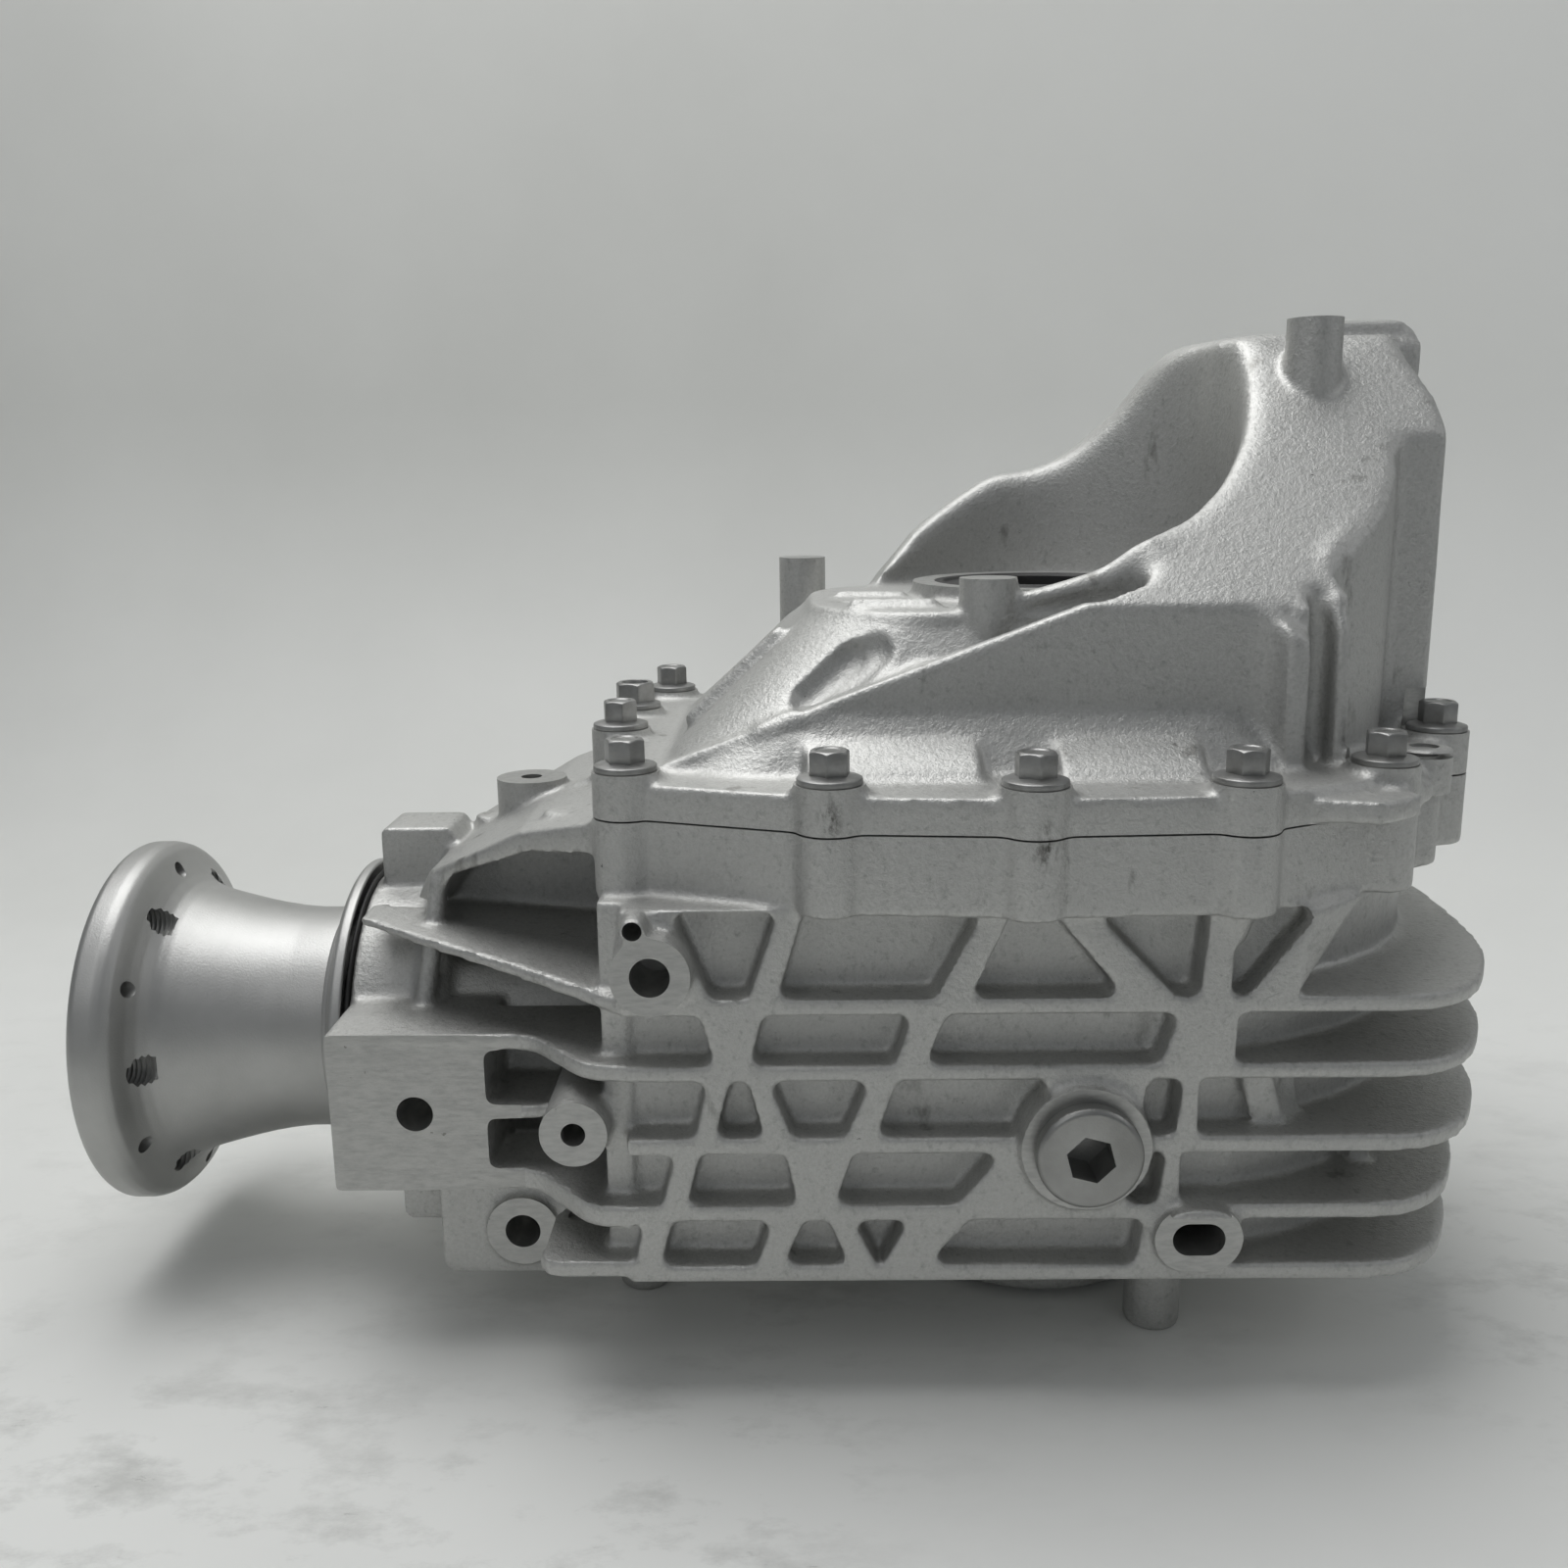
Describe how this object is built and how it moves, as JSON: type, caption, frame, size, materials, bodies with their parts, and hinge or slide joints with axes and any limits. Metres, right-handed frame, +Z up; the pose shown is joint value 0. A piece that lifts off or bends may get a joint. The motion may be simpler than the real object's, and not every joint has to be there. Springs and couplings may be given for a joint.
{
  "type": "rear differential",
  "caption": "Rear differential: ribbed cast aluminium casing with a tall mounting arm, companion flange, spiral bevel drive and bevel differential inside",
  "frame": {"origin": "middle of the outer face of the output seal in the cover, on the output shafts' axis", "axes": "+X away from the companion flange, along the pinion's axis; +Z up, along the output axis out of the cover; +Y to the plain side, away from the ribbed side"},
  "size_m": [0.432, 0.2206, 0.306],
  "materials": {
    "cast_aluminium": "blasted casting, satin, with a sandy grain",
    "bolt_steel": "zinc plated, satin",
    "plug_steel": "turned, satin",
    "flange_steel": "turned and blasted, satin",
    "shield_steel": "pressed sheet, satin",
    "sealant": "cured silicone, matt",
    "seal_rubber": "moulded rubber, matt",
    "bearing_steel": "ground, bright",
    "gear_steel": "case hardened, lapped",
    "case_iron": "machined casting, oiled"
  },
  "bodies": {
    "casing": {"housing": "cast_aluminium", "cover": "cast_aluminium", "joint_sealant": "sealant", "cover_bolts": "bolt_steel", "stud_bolt": "bolt_steel", "joint_dowels": "bolt_steel", "fill_plug": "plug_steel", "fill_plug_washer": "plug_steel", "pinion_seal": "seal_rubber", "output_seal_cover": "seal_rubber", "output_seal_housing": "seal_rubber", "pinion_head_cup": "bearing_steel", "pinion_tail_cup": "bearing_steel", "pinion_depth_shim": "bearing_steel", "carrier_cup_cover": "bearing_steel", "carrier_cup_housing": "bearing_steel", "carrier_shim_cover": "bearing_steel", "carrier_shim_housing": "bearing_steel"},
    "diff_carrier": {"diff_case": "case_iron", "ring_gear": "gear_steel", "ring_gear_bolts": "bolt_steel", "cross_pin": "bearing_steel", "lock_pin": "bearing_steel", "carrier_cone_cover": "bearing_steel", "carrier_cone_housing": "bearing_steel", "side_gear_washers": "bearing_steel", "spider_washers": "bearing_steel"},
    "pinion": {"pinion_gear": "gear_steel", "pinion_head_cone": "bearing_steel", "pinion_tail_cone": "bearing_steel", "crush_sleeve": "shield_steel", "companion_flange": "flange_steel", "dust_shield": "shield_steel", "pinion_washer": "flange_steel", "pinion_nut": "flange_steel"},
    "side_gear_upper_body": {"side_gear_upper": "gear_steel"},
    "side_gear_lower_body": {"side_gear_lower": "gear_steel"},
    "spider_near_body": {"spider_gear_near": "gear_steel"},
    "spider_far_body": {"spider_gear_far": "gear_steel"},
    "head_rollers_body": {"pinion_head_rollers": "bearing_steel"},
    "tail_rollers_body": {"pinion_tail_rollers": "bearing_steel"},
    "cover_rollers_body": {"carrier_rollers_cover": "bearing_steel"},
    "housing_rollers_body": {"carrier_rollers_housing": "bearing_steel"}
  },
  "joints": [
    {"name": "carrier_spin", "type": "hinge", "parent": "casing", "child": "diff_carrier", "pos_m": [0, 0, -0.1457], "axis": [0, 0, 1], "continuous": true},
    {"name": "pinion_spin", "type": "hinge", "parent": "casing", "child": "pinion", "pos_m": [0, 0, -0.1457], "axis": [1, 0, 0], "continuous": true},
    {"name": "head_rollers_spin", "type": "hinge", "parent": "casing", "child": "head_rollers_body", "pos_m": [-0.098, 0, -0.1457], "axis": [1, 0, 0], "continuous": true},
    {"name": "tail_rollers_spin", "type": "hinge", "parent": "casing", "child": "tail_rollers_body", "pos_m": [-0.192, 0, -0.1457], "axis": [1, 0, 0], "continuous": true},
    {"name": "cover_rollers_spin", "type": "hinge", "parent": "casing", "child": "cover_rollers_body", "pos_m": [0, 0, -0.0377], "axis": [0, 0, 1], "continuous": true},
    {"name": "housing_rollers_spin", "type": "hinge", "parent": "casing", "child": "housing_rollers_body", "pos_m": [0, 0, -0.1917], "axis": [0, 0, 1], "continuous": true},
    {"name": "side_gear_upper_spin", "type": "hinge", "parent": "diff_carrier", "child": "side_gear_upper_body", "pos_m": [0, 0, -0.1327], "axis": [0, 0, 1], "continuous": true},
    {"name": "side_gear_lower_spin", "type": "hinge", "parent": "diff_carrier", "child": "side_gear_lower_body", "pos_m": [0, 0, -0.1327], "axis": [0, 0, 1], "continuous": true},
    {"name": "spider_near_spin", "type": "hinge", "parent": "diff_carrier", "child": "spider_near_body", "pos_m": [0, 0, -0.1327], "axis": [0, 1, 0], "continuous": true},
    {"name": "spider_far_spin", "type": "hinge", "parent": "diff_carrier", "child": "spider_far_body", "pos_m": [0, 0, -0.1327], "axis": [0, 1, 0], "continuous": true}
  ],
  "couplings": [
    {"joint": "pinion_spin", "follows": "carrier_spin", "ratio": 3.1538},
    {"joint": "head_rollers_spin", "follows": "carrier_spin", "ratio": 1.3562},
    {"joint": "tail_rollers_spin", "follows": "carrier_spin", "ratio": 1.3562},
    {"joint": "cover_rollers_spin", "follows": "carrier_spin", "ratio": 0.43},
    {"joint": "housing_rollers_spin", "follows": "carrier_spin", "ratio": 0.43},
    {"joint": "side_gear_lower_spin", "follows": "side_gear_upper_spin", "ratio": -1},
    {"joint": "spider_near_spin", "follows": "side_gear_upper_spin", "ratio": 1.6},
    {"joint": "spider_far_spin", "follows": "side_gear_upper_spin", "ratio": -1.6}
  ]
}
